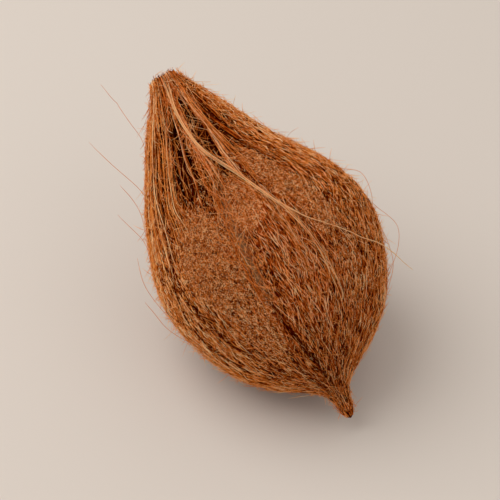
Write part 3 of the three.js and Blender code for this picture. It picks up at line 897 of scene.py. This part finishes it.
# Loose hairs. heading is how far they turn off the flow, as a spread in radians, lift how far they stand off
# the coat ten millimetres along, and low the station that they start from.
LONG_HAIRS = [
    dict(seed=60, count=450, steps=9, lengths=(5, 20), heading=0.4, lift=0.5, sizes=(0.09, 0.14),
         tone_at=0.62),
    dict(seed=62, count=800, steps=9, lengths=(3, 12), heading=0.35, lift=0.5, sizes=(0.08, 0.13),
         tone_at=0.60, low=104.0),
]
FLYAWAYS = dict(seed=61, count=9500, steps=4, lengths=(1.6, 6.5), heading=0.6, lift=4.2, sizes=(0.07, 0.12),
                tone_at=0.72)
DOWN = dict(seed=63, count=14000, steps=3, lengths=(0.8, 2.2), heading=0.8, lift=6.0, sizes=(0.06, 0.10),
            tone_at=0.66)


def loose_hairs(seed, count, steps, lengths, heading, lift, sizes, tone_at, low=2.0):
    """Single hairs that lie over the coat, turned a little off its flow, or stand off it."""
    rng = np.random.default_rng(seed)
    one = (count, 1)
    grid = np.linspace(low, LENGTH - 1, 400)
    total = np.cumsum(coat_radius(grid) + 10)
    station = np.interp(rng.random(one) * total[-1], total, grid)
    angle = rng.random(one) * 360
    share = np.linspace(0, 1, steps)
    hollow = parted(np.concatenate([station, station + 0.1], 1), angle)[1]
    kept = (hollow < 0.1) | (rng.random(count) < 0.1)
    way = np.where(rng.random(one) < 0.5, -1, 1)
    length = lengths[0] + (lengths[1] - lengths[0]) * rng.random(one) ** 2
    course = rng.normal(0, heading, one) + rng.normal(0, 0.25, one) * share
    s = np.clip(station + way * length * share * np.cos(course), 0.5, LENGTH + 1.5)
    a = angle + degrees_of(length * share * np.sin(course), np.maximum(coat_radius(s), 8))
    start, gain = 0.1 + 0.5 * rng.random(one), rng.gamma(2.0, lift / 2, one)
    r = coat_radius(s) + start + gain * length / 10 * share ** rng.uniform(0.8, 1.6, one)
    tone = tone_at + 0.12 * rng.normal(0, 1, one) + 0.36 * (share - 0.5)
    hue = np.clip(0.3 + 0.3 * rng.normal(0, 1, one), 0, 1) + 0 * s
    return [x[kept] for x in (s, a, r, tone, hue, tube_radii(rng, count, steps, *sizes, tip=0.4))]


def crossing_hairs(seed, count, draw_station, draw_angle, lengths, heading, curl, height, tone_at):
    """Slightly crinkled hairs over one stretch of the coat, at all angles to its flow."""
    rng = np.random.default_rng(seed)
    one = (count, 1)
    share = np.linspace(-0.5, 0.5, STRAP_STEPS)
    station = draw_station(rng, one)
    length = rng.uniform(*lengths, one)
    course = rng.normal(0, heading, one) + rng.normal(0, curl, one) * share
    s = station + length * share * np.cos(course)
    crinkle = 0.16 * np.sin(length * share * rng.uniform(0.5, 1.2, one) + rng.uniform(0, 6, one))
    a = draw_angle(rng, station) + degrees_of(length * share * np.sin(course) + crinkle, coat_radius(s))
    r = coat_radius(s) + rng.uniform(*height, one) + crinkle
    tone, hue = (value + 0.14 * rng.normal(0, 1, one) + 0 * s for value in (tone_at, 0.55))
    radii = tube_radii(rng, count, STRAP_STEPS, *CROSSING_SIZES, tip=0.5)
    return s, a, r, tone, np.clip(hue, 0, 1), radii


def seam_hairs():
    """A net of hairs across the seam, and across the hollow that it runs out of."""
    stations, angles = np.array(SEAM[::-1], float).T
    return crossing_hairs(
        seed=47, count=150, draw_station=lambda rng, one: 56 + 94 * rng.random(one) ** 1.3,
        draw_angle=lambda rng, at: np.interp(at, stations, angles) + rng.normal(0, 2.6, at.shape),
        lengths=(3, 15), heading=0.7, curl=0.3, height=(-0.2, 1.2), tone_at=0.74,
    )


def hollow_hairs():
    """Hairs that bridge the hollows on the tuft's upper side."""
    return crossing_hairs(
        seed=48, count=80, draw_station=lambda rng, one: rng.uniform(120, 166, one),
        draw_angle=lambda rng, at: rng.uniform(90, 142, at.shape),
        lengths=(5, 16), heading=0.6, curl=0.25, height=(-0.2, 1.1), tone_at=0.74,
    )


def stage():
    """A plain pale floor, soft light from the upper left, and the camera."""
    mesh = bpy.data.meshes.new("floor")
    corners = [(FLOOR_HALF * x, FLOOR_HALF * y, 0) for x, y in ((-1, -1), (1, -1), (1, 1), (-1, 1))]
    mesh.from_pydata(corners, [], [(0, 1, 2, 3)])
    floor = bpy.data.objects.new("floor", mesh)
    material = bpy.data.materials.new("floor")
    material.use_nodes = True
    shader = material.node_tree.nodes["Principled BSDF"]
    shader.inputs["Base Color"].default_value = (*FLOOR_COLOUR, 1)
    shader.inputs["Roughness"].default_value = FLOOR_ROUGHNESS
    mesh.materials.append(material)
    bpy.context.scene.collection.objects.link(floor)

    world = bpy.data.worlds.new("soft")
    bpy.context.scene.world = world
    world.use_nodes = True
    background = world.node_tree.nodes["Background"]
    background.inputs["Color"].default_value = (*SKY_COLOUR, 1)
    background.inputs["Strength"].default_value = SKY_STRENGTH

    back = Vector((
        np.sin(CAMERA_AZIMUTH) * np.cos(CAMERA_ELEVATION),
        -np.cos(CAMERA_AZIMUTH) * np.cos(CAMERA_ELEVATION),
        np.sin(CAMERA_ELEVATION),
    ))
    right = Vector((np.cos(CAMERA_AZIMUTH), np.sin(CAMERA_AZIMUTH), 0))
    away = Vector((-back.x, -back.y, 0)).normalized()
    for name, left, behind, height, size, power in LIGHTS:
        light = bpy.data.lights.new(name, "AREA")
        light.shape = "DISK"
        light.size = size
        light.energy = power
        lamp = bpy.data.objects.new(name, light)
        lamp.location = CAMERA_TARGET - left * right + behind * away + height * Vector((0, 0, 1))
        lamp.rotation_euler = (lamp.location - CAMERA_TARGET).to_track_quat("Z", "Y").to_euler()
        bpy.context.scene.collection.objects.link(lamp)

    camera = bpy.data.objects.new("camera", bpy.data.cameras.new("camera"))
    camera.data.sensor_width = SENSOR
    camera.data.lens = FOCAL_PIXELS / FRAME_PIXELS * SENSOR
    camera.location = CAMERA_TARGET + CAMERA_DISTANCE * back
    camera.rotation_euler = back.to_track_quat("Z", "Y").to_euler()
    bpy.context.scene.collection.objects.link(camera)
    bpy.context.scene.camera = camera
    bpy.context.scene.view_settings.view_transform = "Standard"


stage()
husk_body()
strand_coir = coir_material("coir_strand", roughness=0.62, mottle=0.35, mottle_scale=420)[0]
fine_coir = coir_material("coir_fine", roughness=0.7, mottle=0.2, mottle_scale=420)[0]
nut_strands(strand_coir)
for layer in TUFT_LAYERS:
    tuft_layer(strand_coir, **layer)
bundle("coir_straps", strand_coir, [straps(), strays(), groove_lines(), seam_hairs(), hollow_hairs()])
felt_fuzz(fine_coir)
bundle("coir_cross_hairs", fine_coir, [loose_hairs(**hairs) for hairs in LONG_HAIRS])
bundle("coir_flyaways", fine_coir, [loose_hairs(**FLYAWAYS)])
bundle("coir_down", fine_coir, [loose_hairs(**DOWN)])
